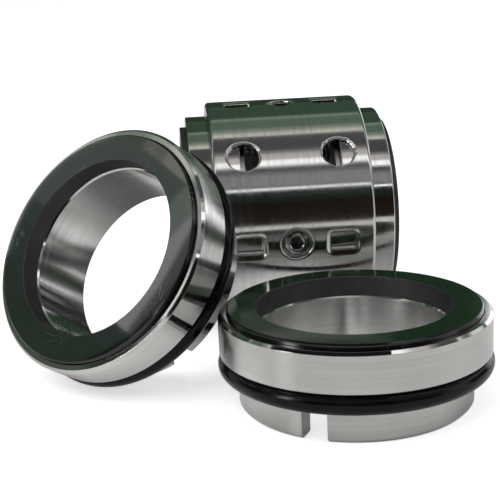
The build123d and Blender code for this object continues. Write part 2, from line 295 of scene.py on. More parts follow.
def radial(place, angle, radius):
    """Frame on the barrel whose Z faces outwards and whose X runs along the shaft."""
    turned = Matrix.Rotation(math.radians(angle), 4, "Z")
    out = Matrix(((0, 0, 1, 0), (0, -1, 0, 0), (1, 0, 0, 0), (0, 0, 0, 1)))
    return BARREL @ turned @ Matrix.Translation((radius * MM, 0, place * MM)) @ out


# ---------------------------------------------------------------- materials


class Look:
    """A node material, with short ways to add and join nodes."""

    def __init__(self, name, **shader):
        self.material = bpy.data.materials.new(name)
        self.material.use_nodes = True
        self.tree = self.material.node_tree
        self.shader = self.tree.nodes["Principled BSDF"]
        for key, value in shader.items():
            self.shader.inputs[key.replace("_", " ").title().replace("Ior", "IOR")].default_value = value

    def node(self, kind, inputs=None, **settings):
        node = self.tree.nodes.new("ShaderNode" + kind)
        for key, value in settings.items():
            setattr(node, key, value)
        for key, value in (inputs or {}).items():
            if isinstance(value, bpy.types.NodeSocket):
                self.tree.links.new(value, node.inputs[key])
            else:
                node.inputs[key].default_value = value
        return node

    def math(self, operation, *values):
        return self.node("Math", dict(enumerate(values)), operation=operation).outputs[0]

    def noise(self, vector, scale, detail=2.0, roughness=0.5):
        inputs = {"Vector": vector, "Scale": scale, "Detail": detail, "Roughness": roughness}
        return self.node("TexNoise", inputs).outputs["Fac"]

    def ramp(self, value, low, high, start=0.0, end=1.0):
        inputs = {"Value": value, "From Min": low, "From Max": high, "To Min": start, "To Max": end}
        return self.node("MapRange", inputs).outputs["Result"]

    def mix(self, fac, a, b):
        return self.node("Mix", {0: fac, 6: a, 7: b}, data_type="RGBA").outputs[2]

    def place(self):
        return self.node("TexCoord").outputs["Object"]

    def vector(self, operation, *values, output=0):
        return self.node("VectorMath", dict(enumerate(values)), operation=operation).outputs[output]

    def scratches(self, scale, distortion, width, patches):
        """Hairlines where a noise passes its middle value, kept to patches of (scale, from, to)."""
        inputs = {"Vector": self.place(), "Scale": scale, "Detail": 1.0, "Distortion": distortion}
        field = self.node("TexNoise", inputs).outputs["Fac"]
        hair = self.ramp(self.math("ABSOLUTE", self.math("SUBTRACT", field, 0.5)), 0.0, width, 1.0, 0.0)
        patch_scale, low, high = patches
        return self.math("MULTIPLY", hair, self.ramp(self.noise(self.place(), patch_scale, 1.0), low, high))

    def ring_marks(self, matrix):
        """Coordinates of turning marks about a frame's Z, (radius, height, wander), and their way round."""
        axis = tuple(matrix.col[2].xyz)
        arm = self.vector("SUBTRACT", self.place(), tuple(matrix.translation))
        height = self.vector("DOT_PRODUCT", arm, axis, output=1)
        round_way = self.vector("CROSS_PRODUCT", axis, arm)
        radius = self.vector("LENGTH", round_way, output=1)
        wander = self.math("MULTIPLY", self.noise(self.place(), 30.0, 1.0), 0.002)
        marks = self.node("CombineXYZ", {0: radius, 1: height, 2: wander}).outputs[0]
        return marks, self.vector("NORMALIZE", round_way)

    def distance(self, place):
        """How far a point of the surface is from a place."""
        return self.vector("LENGTH", self.vector("SUBTRACT", self.place(), place), output=1)

    def set(self, key, value):
        self.tree.links.new(value, self.shader.inputs[key])

    def bump(self, height, distance):
        self.set("Normal", self.node("Bump", {"Height": height, "Distance": distance}).outputs[0])


def darker(colour, share):
    return tuple(share * c for c in colour[:3]) + (1.0,)


def turned_steel(name, matrix, colour, rough, marks, wear=0.5):
    """Bright turned steel: fine rings, a few deeper ones, faint scratches and handling smudges.

    The rings spread a reflection across themselves and leave it sharp along their own way round."""
    look = Look(name, metallic=1.0, roughness=rough, anisotropic=0.9, anisotropic_rotation=0.25)
    rings, round_way = look.ring_marks(matrix)
    fine = look.noise(rings, 5200.0, 2.0, 0.6)
    broad = look.noise(rings, 900.0, 2.0)
    smudge = look.noise(look.place(), 55.0, 3.0, 0.6)
    grain = look.noise(look.place(), 2200.0, 2.0, 0.7)
    hair = look.scratches(260.0, 1.5, 0.006, (90.0, 0.55, 0.7))
    tone = colour
    for share in (
        look.ramp(smudge, 0.35, 0.75, 0.0, wear),
        look.ramp(fine, 0.3, 0.7, 0.0, 0.25),
        look.ramp(grain, 0.35, 0.7, 0.0, wear),
        look.ramp(broad, 0.45, 0.62, 0.0, 0.8),
    ):
        tone = look.mix(share, tone, darker(colour, 0.86))
    look.set("Base Color", tone)
    polish = look.ramp(broad, 0.3, 0.7, rough * 0.8, rough * 1.15)
    worn = look.ramp(smudge, 0.4, 0.8, 0.0, 0.05 * wear)
    look.set("Roughness", look.math("ADD", look.math("ADD", polish, worn), look.math("MULTIPLY", hair, 0.06)))
    height = look.math("ADD", look.math("MULTIPLY", fine, 0.6), look.math("MULTIPLY", broad, 0.4))
    look.bump(look.math("SUBTRACT", height, look.math("MULTIPLY", hair, 0.25)), marks)
    look.set("Tangent", round_way)
    return look.material


def carbide(name, colour, rough, grain, streaks, ior=2.3):
    """Silicon carbide: lapped almost to a mirror on its faces, ground matt on its walls."""
    look = Look(name, roughness=rough, ior=ior)
    speck = look.noise(look.place(), 4500.0, 2.0, 0.7)
    cloud = look.noise(look.place(), 120.0, 3.0)
    tone = look.mix(look.ramp(cloud, 0.3, 0.7), colour, darker(colour, 0.7))
    hair = look.scratches(230.0, 0.6, 0.009, (70.0, 0.56, 0.72))
    look.set("Base Color", look.mix(hair, tone, SCRATCH_GREY))
    ground = look.ramp(speck, 0.3, 0.7, rough * 0.8, rough * 1.2)
    look.set("Roughness", look.math("ADD", ground, look.ramp(cloud, 0.3, 0.8, 0.0, streaks)))
    look.bump(speck, grain)
    return look.material


def moulded_rubber(name, pale, deep):
    """Moulded rubber with a light film of oil."""
    look = Look(name, roughness=0.14, ior=1.5, specular_ior_level=0.16)
    grain = look.noise(look.place(), 1500.0, 3.0, 0.6)
    wave = look.noise(look.place(), 140.0, 2.0)
    film = look.math("ADD", look.ramp(grain, 0.3, 0.7, 0.1, 0.16), look.ramp(wave, 0.45, 0.75, 0.0, 0.1))
    look.set("Roughness", film)
    look.set("Base Color", look.mix(look.ramp(wave, 0.4, 0.8), deep, pale))
    look.bump(look.math("ADD", grain, wave), 6e-6)
    return look.material


def plain_steel(name, colour, rough, grain):
    """Machined or drawn steel without a turning direction."""
    look = Look(name, metallic=1.0, roughness=rough)
    speck = look.noise(look.place(), 1800.0, 3.0, 0.6)
    smudge = look.noise(look.place(), 300.0, 2.0)
    look.set("Base Color", look.mix(look.ramp(smudge, 0.35, 0.7), colour, darker(colour, 0.6)))
    look.set("Roughness", look.ramp(speck, 0.3, 0.7, rough * 0.75, rough * 1.3))
    look.bump(speck, grain)
    return look.material


BRIGHT_STEEL = (0.62, 0.62, 0.61, 1.0)
SCRATCH_GREY = (0.12, 0.13, 0.125, 1.0)

# turned steel: name, frame, colour, roughness, depth of its marks in metres
STEEL = turned_steel("steel_shell", BARREL, BRIGHT_STEEL, 0.17, 4e-6)
STEEL_RING = turned_steel("steel_ring", BARREL, BRIGHT_STEEL, 0.13, 3e-6, wear=0.3)
STEEL_FLAT = turned_steel("steel_flat_seat", FLAT, (0.6, 0.6, 0.59, 1.0), 0.2, 6e-6, wear=1.0)
STEEL_LEAN = turned_steel("steel_leaning_seat", LEAN, (0.64, 0.64, 0.63, 1.0), 0.12, 4e-6)
RIM_FLAT = turned_steel("steel_flat_rim", FLAT, BRIGHT_STEEL, 0.08, 1e-6, wear=0.2)
RIM_LEAN = turned_steel("steel_leaning_rim", LEAN, BRIGHT_STEEL, 0.08, 1e-6, wear=0.2)
STEEL_INNER = turned_steel("steel_inner", BARREL, (0.42, 0.42, 0.41, 1.0), 0.3, 8e-6)
# plain steel: name, colour, roughness, depth of its grain
STEEL_BARE = plain_steel("steel_bare", (0.5, 0.5, 0.49, 1.0), 0.3, 1e-5)
SCREW_STEEL = plain_steel("screw_steel_look", (0.5, 0.49, 0.48, 1.0), 0.2, 6e-6)
WIRE = plain_steel("spring_wire_look", (0.55, 0.55, 0.54, 1.0), 0.25, 4e-6)
# silicon carbide: name, colour, roughness, depth of its grain, streaks in its roughness
LAPPED = carbide("carbide_lapped", (0.006, 0.010, 0.008, 1.0), 0.03, 2e-7, 0.01)
# the flat seat's copy of the lapped carbide has a green tint in its colour, a painted reflection of green
# light from above
LAPPED_PAINTED_GREEN = carbide("carbide_lapped_painted_green", (0.008, 0.025, 0.010, 1.0), 0.1, 6e-7, 0.02, ior=1.25)
GROUND = carbide("carbide_ground", (0.015, 0.0145, 0.0155, 1.0), 0.42, 6e-6, 0.1, ior=1.7)
EDGE = carbide("carbide_edge", (0.004, 0.005, 0.004, 1.0), 0.16, 2e-6, 0.05, ior=1.5)
RUBBER = moulded_rubber("rubber_black", pale=(0.005, 0.005, 0.005, 1.0), deep=(0.002, 0.002, 0.003, 1.0))


def dress(obj, body, materials, pick=None, nodes=()):
    """Gives a piece its materials, its body and the solids that it stands for."""
    obj.data.materials.clear()
    for material in materials:
        obj.data.materials.append(material)
    if pick:
        for face in obj.data.polygons:
            face.material_index = pick(face.center / MM, face.normal)
    obj.data.transform(obj.matrix_world)
    obj.matrix_world = Matrix.Identity(4)
    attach(obj, body)
    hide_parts(*nodes)
    return obj


def on_top(centre, normal, end):
    """Whether a place on an insert is on its flat, lapped top."""
    return normal.z > 0.95 and centre.z > end - 0.05


def band(low, high, back, front, corner, steps=3):
    """Profile of a plain ring between two radii and two places."""
    return rounded([(low, back), (high, back), (high, front), (low, front)], corner, steps)


# ---------------------------------------------------------------- drive shell


def lines(*stretches):
    """Grid lines from (start, end, step) stretches, without repeats."""
    values = []
    for start, end, step in stretches:
        count = max(1, round((end - start) / step))
        values += [start + (end - start) * k / count for k in range(count + 1)]
    values = sorted(values)
    return np.array([v for k, v in enumerate(values) if k == 0 or v - values[k - 1] > 1e-4])


def rectangle_distance(u, v, half_u, half_v, corner):
    """Signed distance to a rounded rectangle, negative inside."""
    qu, qv = np.abs(u) - half_u + corner, np.abs(v) - half_v + corner
    outside = np.hypot(np.maximum(qu, 0), np.maximum(qv, 0))
    return outside + np.minimum(np.maximum(qu, qv), 0) - corner


def smooth(t):
    t = np.clip(t, 0, 1)
    return t * t * (3 - 2 * t)


def pocket_depth(place, angle, radius, inside=False):
    """How far the pressed pockets lie below the shell's surface, at places along and angles round it."""
    depth = np.zeros(np.broadcast(place, angle).shape)
    for row in ROW_ANGLES:
        v = (angle - math.radians(row) + math.pi) % TURN - math.pi
        v = v * radius
        for side in (-1, 1):
            u = place - side * POCKET_OFFSET
            if inside:
                edge = rectangle_distance(u, v, POCKET[0] / 2 + BULGE, POCKET[1] / 2 + BULGE, BULGE_CORNER)
                rise = POCKET_DEPTH + POCKET_WALL - (SHELL_RADIUS - SHELL_BORE)
                here = rise * smooth(-edge / BULGE_SLOPE)
            else:
                rim = rectangle_distance(u, v, DISH[0] / 2, DISH[1] / 2, DISH_CORNER)
                edge = rectangle_distance(u, v, POCKET[0] / 2, POCKET[1] / 2, POCKET_CORNER)
                fall = np.maximum(-rim, 0) / (np.maximum(-rim, 0) + np.maximum(edge, 0) + 1e-9)
                here = DISH_DEPTH * smooth(fall)
                here += (POCKET_DEPTH - DISH_DEPTH) * smooth(-edge / POCKET_SLOPE)
            depth = np.maximum(depth, here)
    return depth


def outer_radius(place, angle):
    return SHELL_RADIUS - pocket_depth(place, angle, SHELL_RADIUS)


def shell_surface(points, own):
    """Normals of the shell's outer surface, or none where a point isn't on it."""
    step, near = 0.03, 0.05
    angle = np.arctan2(points[:, 1], points[:, 0])
    radius = np.hypot(points[:, 0], points[:, 1])
    z = points[:, 2]
    turn = step / SHELL_RADIUS
    along = (outer_radius(z - step, angle) - outer_radius(z + step, angle)) / (2 * step)
    across = (outer_radius(z, angle - turn) - outer_radius(z, angle + turn)) / (2 * step)
    out = np.c_[np.cos(angle), np.sin(angle), np.zeros_like(angle)]
    side = np.c_[-np.sin(angle), np.cos(angle), np.zeros_like(angle)]
    axis = np.array([0, 0, 1])
    normal = out + side * across[:, None] + axis * along[:, None]
    normal /= np.linalg.norm(normal, axis=1)[:, None]
    beyond = np.abs(z) - (SHELL_END - SHELL_CORNER)
    past_end = beyond >= 0.01
    corner = out * (radius - (SHELL_RADIUS - SHELL_CORNER))[:, None]
    corner += axis * (np.maximum(beyond, 0) * np.sign(z))[:, None]
    corner /= np.maximum(np.linalg.norm(corner, axis=1), 1e-9)[:, None]
    normal[past_end] = corner[past_end]
    normal[(np.abs(radius - outer_radius(z, angle)) >= near) & ~past_end] = 0
    return normal


def shell_lines():
    """Places along the shell's outside, close together where the pockets' walls fall."""
    straight = SHELL_END - SHELL_CORNER
    fine, medium, margin, wall = 0.1, 0.4, 0.06, 0.5
    spans = [(-straight, -20.2, 1.0), (-9.0, 9.0, 1.5), (20.2, straight, 1.0)]
    for centre in (-POCKET_OFFSET, POCKET_OFFSET):
        for sign in (-1, 1):
            edge = centre + sign * POCKET[0] / 2
            low, high = sorted((edge, edge - sign * wall))
            spans.append((low - margin, high + margin, fine))
        spans.append((centre - DISH[0] / 2 - 0.2, centre + DISH[0] / 2 + 0.2, medium))
    return lines(*spans)


def shell_angles():
    """Angles round the shell, in radians, close together over the pockets and closest at their walls."""
    half = math.degrees(DISH[1] / 2 / SHELL_RADIUS) + 0.4
    medium, coarse = math.degrees(0.4 / SHELL_RADIUS), 2.2
    wall_lines = (-0.06, 0.04, 0.14, 0.24, 0.34, 0.44)
    angles = []
    for row in ROW_ANGLES:
        angles += list(lines((row - half, row + half, medium), (row + half, row + 360 / ROWS - half, coarse)))
        for sign in (-1, 1):
            angles += [row + sign * math.degrees((POCKET[1] / 2 - d) / SHELL_RADIUS) for d in wall_lines]
    return np.radians(sorted(set(round(angle % 360, 4) for angle in angles)))


def shell_mesh():
    """The shell's grid: pockets pressed in, a rolled corner and a lip at each end."""
    straight, corner = SHELL_END - SHELL_CORNER, SHELL_RADIUS - SHELL_CORNER
    quarter = np.linspace(0, math.pi / 2, 6)[1:]
    arc = [(SHELL_CORNER * math.sin(a), SHELL_CORNER * math.cos(a)) for a in quarter]
    inside = SHELL_END - LIP
    lip = [(LIP_BORE + LIP_EDGE, SHELL_END), (LIP_BORE, SHELL_END - LIP_EDGE), (LIP_BORE, inside)]
    over_pockets = [(s * POCKET_OFFSET - 5.2, s * POCKET_OFFSET + 5.2, 0.4) for s in (-1, 1)]
    inner = lines((-inside, inside, 3.0), *over_pockets)
    rows = [("outer", z) for z in shell_lines()]
    rows += [(corner + c, straight + s) for s, c in arc] + lip
    rows += [("inner", z) for z in inner[::-1]]
    rows += [(r, -z) for r, z in lip[::-1]]
    rows += [(corner + c, -straight - s) for s, c in arc[::-1]]
    angles = shell_angles()
    radii, places = [], []
    for r, z in rows:
        if r == "outer":
            radii.append(outer_radius(z, angles))
        elif r == "inner":
            radii.append(SHELL_BORE - pocket_depth(z, angles, SHELL_BORE, inside=True))
        else:
            radii.append(np.full(len(angles), r))
        places.append(np.full(len(angles), z))
    radii, places = np.array(radii).T, np.array(places).T
    points = np.stack([radii * np.cos(angles)[:, None], radii * np.sin(angles)[:, None], places], axis=-1)
    return mesh_object("shell_visual", points.reshape(-1, 3), grid_faces(len(rows), len(angles)), BARREL)


BURR_ORDERS, BURR_LEAST, BURR_MOST = (3, 7, 11, 16), 0.02, 0.06


def hole_cutter(place, angle, seed):
    """Drill with a countersink whose edge is a little ragged, as a burr leaves it."""
    random = np.random.default_rng(seed)
    phases = random.uniform(0, TURN, len(BURR_ORDERS))
    sizes = random.uniform(BURR_LEAST, BURR_MOST, len(BURR_ORDERS))

    def ragged(a):
        return sum(s * math.sin(n * a + p) for s, n, p in zip(sizes, BURR_ORDERS, phases))

    depth, blend, above = 20.0, 0.06, 2.0
    rows = [
        (HOLE_RADIUS, -depth),
        (HOLE_RADIUS, -HOLE_CHAMFER - 0.1),
        (HOLE_RADIUS + blend, -HOLE_CHAMFER + blend),
        (HOLE_RADIUS + HOLE_CHAMFER, 0.0),
        (HOLE_RADIUS + HOLE_CHAMFER + above, above),
    ]
    return spindle(rows, radial(place, angle, SHELL_RADIUS), 72, ragged)


def drive_shell():
    """The shell with a hole over each set screw and the round holes between them."""
    shell = shell_mesh()
    places = [(0.0, a) for a in ROW_ANGLES]
    places += [(side * SIDE_HOLE_OFFSET, a) for side in (-1, 1) for a in SIDE_ANGLES]
    cut(shell, [hole_cutter(z, a, seed) for seed, (z, a) in enumerate(places)])
    set_normals(shell, shell_surface, 0.3)
    dress(shell, "seal", [STEEL], nodes=["drive_shell"])


drive_shell()

# ---------------------------------------------------------------- rotary ends


def rotary_ring(name, side, flip):
    """Holder of a rotary face, with a slot for each pocket that drives it."""
    pocket_radius = ROTARY_FACE_RADIUS + 0.04
    profile = rounded(
        [
            (GROOVE_RADIUS, FLANGE_BACK),
            (FLANGE_RADIUS, FLANGE_BACK, 0.4),
            (FLANGE_RADIUS, FLANGE_FRONT),
            (NOSE_RADIUS, FLANGE_FRONT),
            (NOSE_RADIUS, NOSE_END, 0.5),
            (pocket_radius, NOSE_END, 0.15),
            (pocket_radius, ROTARY_FACE_BACK),
            (RING_BORE, ROTARY_FACE_BACK, 0.2),
            (RING_BORE, GROOVE_END, 0.1),
            (GROOVE_RADIUS, GROOVE_END),
        ]
    )
    ring = lathe(f"{name}_ring_visual", profile, flip)
    depth = FLANGE_RADIUS - SLOT_FLOOR + 2
    slot = (2 * (SHELL_END - FLANGE_BACK), SLOT_WIDTH, depth)
    middle = SLOT_FLOOR + depth / 2
    cut(ring, [block(slot, radial(side * FLANGE_BACK, angle, middle)) for angle in ROW_ANGLES])
    set_normals(ring, turned_surface(profile))
    dress(ring, f"{name}_ring_set", [STEEL_RING], nodes=[f"{name}_rotary_ring"])


def rotary_face_part(centre, normal):
    """Which look a rotary face has at a place: 0 ground, 1 lapped."""
    return int(on_top(centre, normal, ROTARY_FACE_END))


def rotary_face(name, flip):
    """Silicon carbide insert in the rotary ring's nose."""
    profile = rounded(
        [
            (ROTARY_FACE_BORE, ROTARY_FACE_BACK + SKIN),
            (ROTARY_FACE_RADIUS, ROTARY_FACE_BACK + SKIN),
            (ROTARY_FACE_RADIUS, ROTARY_FACE_END, 0.3),
            (ROTARY_FACE_BORE, ROTARY_FACE_END, 0.15),
        ]
    )
    face = lathe(f"{name}_rotary_face_visual", profile, flip)
    looks, nodes = [GROUND, LAPPED], [f"{name}_rotary_face"]
    dress(face, f"{name}_ring_set", looks, rotary_face_part, nodes)


def shaft_o_ring(name, flip):
    """O-ring squeezed between the rotary ring and the shaft."""
    back, front = FLANGE_BACK + SKIN, FLANGE_BACK + SHAFT_RING_SECTION
    top = SHAFT_RING_BORE + SHAFT_RING_SECTION
    profile = band(SHAFT_RING_BORE, top, back, front, SHAFT_RING_CORNER, steps=6)
    ring = lathe(f"{name}_shaft_o_ring_visual", profile, flip, 160)
    dress(ring, f"{name}_ring_set", [RUBBER], nodes=[f"{name}_shaft_o_ring"])


def thrust_ring(name, flip):
    """Washer that the springs push on."""
    profile = band(RING_BORE, THRUST_RADIUS, THRUST_BACK, FLANGE_BACK, 0.2)
    ring = lathe(f"{name}_thrust_ring_visual", profile, flip, 160)
    dress(ring, f"{name}_ring_set", [STEEL_INNER], nodes=[f"{name}_thrust_ring"])


def coil_path():
    """Centre line of a spring with closed ends, and two directions across its wire at each point."""
    start = SPRING_START + SPRING_GAP + SPRING_WIRE / 2
    end = THRUST_BACK - SPRING_GAP - SPRING_WIRE / 2
    radius = SPRING_RADIUS - SPRING_WIRE / 2
    all_turns = round((end - start) / SPRING_PITCH) + 1
    steps_a_turn, closed_turn, closed_climb = 22, 0.35, 0.06
    turns = np.linspace(0, 1, steps_a_turn * all_turns + 1) * all_turns
    climb = np.clip((turns - closed_turn) / (all_turns - 2 * closed_turn), 0, 1)
    height = climb * (1 - closed_climb) + closed_climb * turns / all_turns
    outward = np.c_[np.cos(turns * TURN), np.sin(turns * TURN), np.zeros(len(turns))]
    centre = np.c_[radius * outward[:, :2], start + (end - start) * height]
    tangent = np.gradient(centre, axis=0)
    tangent /= np.linalg.norm(tangent, axis=1)[:, None]
    return centre, outward, np.cross(tangent, outward)


def springs(name, side, flip):
    """Eight coil springs of one side, which the thrust ring squeezes."""
    around = 8
    angles = (np.arange(around) * TURN / around)[:, None]
    centre, outward, upward = coil_path()
    wire = (outward[:, None] * np.cos(angles) + upward[:, None] * np.sin(angles)) * SPRING_WIRE / 2
    coil = (centre[:, None] + wire).reshape(-1, 3)
    coil_faces = stack_faces(len(centre), around, flipped=True)
    points, faces = [], []
    for angle in SIDE_ANGLES:
        for sign in (-1, 1):
            a = side * math.radians(angle + sign * SPRING_SPREAD)
            faces += [[len(points) + corner for corner in face] for face in coil_faces]
            points += list(coil + [SPRING_CIRCLE * math.cos(a), SPRING_CIRCLE * math.sin(a), 0])
    coils = mesh_object(f"{name}_springs_visual", points, faces, flip)
    dress(coils, "seal", [WIRE], nodes=[f"{name}_springs"])
    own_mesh(coils)


for side, name in ((-1, "left"), (1, "right")):
    flip = BARREL if side > 0 else BARREL @ Matrix.Rotation(math.pi, 4, "X")
    rotary_ring(name, side, flip)
    rotary_face(name, flip)
    shaft_o_ring(name, flip)
    thrust_ring(name, flip)
    springs(name, side, flip)

# ---------------------------------------------------------------- drive collar and set screws

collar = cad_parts["drive_collar"]
collar.data.materials.clear()
collar.data.materials.append(STEEL_BARE)


def set_screw(number, angle):
    """Set screw with its thread, chamfered ends, a hexagon socket and a cup point."""
    around = 48
    heights = np.arange(0, SCREW_LENGTH + 1e-6, THREAD_PITCH / 10)
    points = []
    for z in heights:
        chamfer = max(0.0, SCREW_CHAMFER - min(z, SCREW_LENGTH - z)) * 0.9
        for j in range(around):
            wave = abs(((z / THREAD_PITCH - j / around) % 1.0) - 0.5) * 2
            r = SCREW_RADIUS - THREAD_DEPTH * (1 - smooth(wave * 1.15)) - chamfer
            points.append((r * math.cos(TURN * j / around), r * math.sin(TURN * j / around), z))
    foot, head = (radial(0, angle, SCREW_TIP + height) for height in (0, SCREW_LENGTH))
    name = f"set_screw_{number}"
    screw = mesh_object(f"{name}_visual", points, stack_faces(len(heights), around), foot)
    hexagon = SOCKET_FLATS / 2 / math.cos(math.pi / 6)
    socket = spindle([(hexagon, -SOCKET_DEPTH), (hexagon, 1.0)], head, 6)
    flare = spindle([(1.2, -0.9), (2.6, 0.15), (3.4, 0.6)], head, 48)
    cup = spindle([(2.6, -0.5), (2.6, 0.0), (1.7, 0.9)], foot, 48)
    cut(screw, [socket, flare, cup])
    set_normals(screw, lambda points, own: own * 0)
    dress(screw, f"screw_{number}", [SCREW_STEEL], nodes=[name])


for index, angle in enumerate(ROW_ANGLES):
    set_screw(index + 1, angle)

# ---------------------------------------------------------------- stationary seats


def seat_face_part(centre, normal):
    """Which look a seat's face has at a place: 0 ground bore, 1 lapped top, 2 outer edge."""
    if on_top(centre, normal, SEAT_FACE_END):
        return 1
    return 2 if centre.xy.length > SEAT_FACE_RADIUS - 1 else 0


def seat_ring_part(centre, normal):
    """Which look a seat's metal has at a place: 0 turned, 1 the bright rim and the ledge inside the bore."""
    on_rim = centre.z > HEAD_END - RIM_CHAMFER
    on_ledge = centre.z > SEAT_FACE_BACK - LEDGE_CHAMFER and centre.xy.length < SEAT_FACE_BORE
    return int(normal.z > 0.5 and (on_rim or on_ledge))


def seat_ring(name, matrix, notch, looks):
    """Metal holder of a stationary face: a wide head, a thin tail and a notch for an anti-rotation pin."""
    pocket_radius, mouth_radius = SEAT_FACE_RADIUS + 0.05, SEAT_FACE_RADIUS + 0.22
    profile = rounded(
        [
            (SEAT_BORE + EDGE_BREAK, 0.0),
            (TAIL_RADIUS - TAIL_CHAMFER, 0.0, 0.3),
            (TAIL_RADIUS, TAIL_CHAMFER, 0.3),
            (TAIL_RADIUS, TAIL_LENGTH),
            (LAND_RADIUS, TAIL_LENGTH),
            (LAND_RADIUS, HEAD_START),
            (HEAD_RADIUS - HEAD_BREAK, HEAD_START, 0.15),
            (HEAD_RADIUS, HEAD_START + HEAD_BREAK, 0.15),
            (HEAD_RADIUS, HEAD_END - RIM_CHAMFER, 0.15),
            (HEAD_RADIUS - RIM_CHAMFER, HEAD_END, 0.15),
            (mouth_radius, HEAD_END, 0.08),
            (pocket_radius, HEAD_END - EDGE_BREAK, 0.08),
            (pocket_radius, SEAT_FACE_BACK),
            (SEAT_BORE + LEDGE_CHAMFER, SEAT_FACE_BACK),
            (SEAT_BORE, SEAT_FACE_BACK - LEDGE_CHAMFER),
            (SEAT_BORE, EDGE_BREAK),
        ]
    )
    ring = lathe(f"{name}_ring_visual", profile, matrix, 256)
    middle, below = (SEAT_BORE + TAIL_RADIUS) / 2, 1.0
    place = matrix @ Matrix.Rotation(math.radians(notch), 4, "Z")
    place = place @ Matrix.Translation((middle * MM, 0, (NOTCH_HEIGHT / 2 - below) * MM))
    size = (2 * (TAIL_RADIUS - SEAT_BORE), NOTCH_WIDTH, NOTCH_HEIGHT + 2 * below)
    cut(ring, [block(size, place)])
    set_normals(ring, turned_surface(profile))
    dress(ring, "seal", looks, seat_ring_part, [f"{name}_ring"])


def seat_face(name, matrix, looks):
    """Silicon carbide insert in a seat's head."""
    profile = rounded(
        [
            (SEAT_FACE_BORE, SEAT_FACE_BACK + SKIN),
            (SEAT_FACE_RADIUS, SEAT_FACE_BACK + SKIN),
            (SEAT_FACE_RADIUS, SEAT_FACE_END - HEAD_BREAK, 0.15),
            (SEAT_FACE_RADIUS - HEAD_BREAK, SEAT_FACE_END, 0.1),
            (SEAT_FACE_BORE + EDGE_BREAK, SEAT_FACE_END, 0.08),
            (SEAT_FACE_BORE, SEAT_FACE_END - EDGE_BREAK, 0.08),
        ]
    )
    face = lathe(f"{name}_face_visual", profile, matrix, 256)
    dress(face, "seal", looks, seat_face_part, [f"{name}_face"])


def seat_o_ring(name, matrix):
    """Static O-ring on a seat's tail, under its head."""
    around, radius = 40, SEAT_RING_SECTION / 2
    angles = np.arange(around) * TURN / around
    cos, sin = np.cos(angles), np.sin(angles)
    section = np.c_[LAND_RADIUS + radius + radius * cos, SEAT_RING_CENTRE + radius * sin, cos, sin]
    ring = lathe(f"{name}_o_ring_visual", section, matrix, 256)
    dress(ring, "seal", [RUBBER], nodes=[f"{name}_o_ring"])


for name, matrix, notch, steel, rim, lapped in (
    ("flat_seat", FLAT, FLAT_NOTCH, STEEL_FLAT, RIM_FLAT, LAPPED_PAINTED_GREEN),
    ("leaning_seat", LEAN, LEAN_NOTCH, STEEL_LEAN, RIM_LEAN, LAPPED),
):
    seat_ring(name, matrix, notch, [steel, rim])
    seat_face(name, matrix, [GROUND, lapped, EDGE])
    seat_o_ring(name, matrix)

# ---------------------------------------------------------------- studio, in metres

FLOOR = min(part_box("flat_seat_ring")[0].z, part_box("drive_shell")[0].z)


def stage_object(name, points, faces, material):
    """Floor or card, which isn't part of the object."""
    obj = mesh_object(name, np.array(points) / MM, faces, Matrix.Identity(4), smooth=False)
    obj.data.materials.append(material)
    return obj


def reflected_card(name, points, faces, colour):
    """Card that glows in reflections and is seen nowhere else."""
    material = bpy.data.materials.new(f"{name}_look")
    material.use_nodes = True
    nodes = material.node_tree.nodes
    nodes.clear()
    glow = nodes.new("ShaderNodeEmission")
    glow.inputs["Color"].default_value = (*colour, 1.0)
    out = nodes.new("ShaderNodeOutputMaterial")
    material.node_tree.links.new(glow.outputs[0], out.inputs[0])
    material.cycles.emission_sampling = "NONE"
    card = stage_object(name, points, faces, material)
    for ray in ("camera", "diffuse", "transmission", "volume_scatter", "shadow"):
        setattr(card, f"visible_{ray}", False)


# cards along the barrel: (from, to, colour), in degrees up from the camera's side
CARDS = [
    (0, 15, (0.019, 0.012, 0.009)),
    (15, 23, (0.012, 0.009, 0.006)),
    (23, 33.6, (0.012, 0.022, 0.016)),
    (33.6, 35.5, (1.8, 1.8, 1.8)),
    (35.5, 38, (0.16, 0.16, 0.16)),
    (38, 48.4, (0.32, 0.315, 0.32)),
    (48.4, 51.4, (0.21, 0.21, 0.21)),
    (51.4, 55.3, (0.08, 0.08, 0.08)),
    (55.3, 57.3, (0.5, 0.5, 0.5)),
    (57.3, 62.8, (1.6, 1.6, 1.6)),
    (62.8, 69.6, (0.68, 0.63, 0.63)),
    (69.6, 72.8, (0.28, 0.27, 0.27)),
    (72.8, 90, (0.096, 0.093, 0.096)),
    (90, 93.8, (0.77, 0.77, 0.68)),
    (93.8, 96.4, (0.51, 0.51, 0.46)),
    (96.4, 100.4, (0.27, 0.31, 0.26)),
    (100.4, 113, (0.135, 0.19, 0.143)),
    (113, 117, (0.27, 0.34, 0.27)),
    (117, 142.5, (0.053, 0.096, 0.058)),
    (142.5, 144.4, (0.082, 0.118, 0.082)),
    (144.4, 179, (0.032, 0.055, 0.034)),
]
CARD_RADIUS, CARD_LEFT, CARD_RIGHT, CARD_STEP = 0.6, -0.75, 0.9, 8


def curved_card(name, low, high, colour):
    """Card bent round the barrel between two angles."""
    steps = max(1, math.ceil((high - low) / CARD_STEP))
    points = []
    for angle in np.radians(np.linspace(low, high, steps + 1)):
        y, z = -CARD_RADIUS * math.cos(angle), CARD_RADIUS * math.sin(angle) + FLOOR
        points += [(CARD_LEFT, y, z), (CARD_RIGHT, y, z)]
    faces = [(2 * k, 2 * k + 1, 2 * k + 3, 2 * k + 2) for k in range(steps)]
    reflected_card(name, points, faces, colour)


for index, (low, high, colour) in enumerate(CARDS):
    curved_card(f"card_{index + 1}", low, high, colour)


def upright(start, end, low, high):
    """Corners of an upright card that stands over a line on the floor."""
    return [(*start, low), (*end, low), (*end, high), (*start, high)]


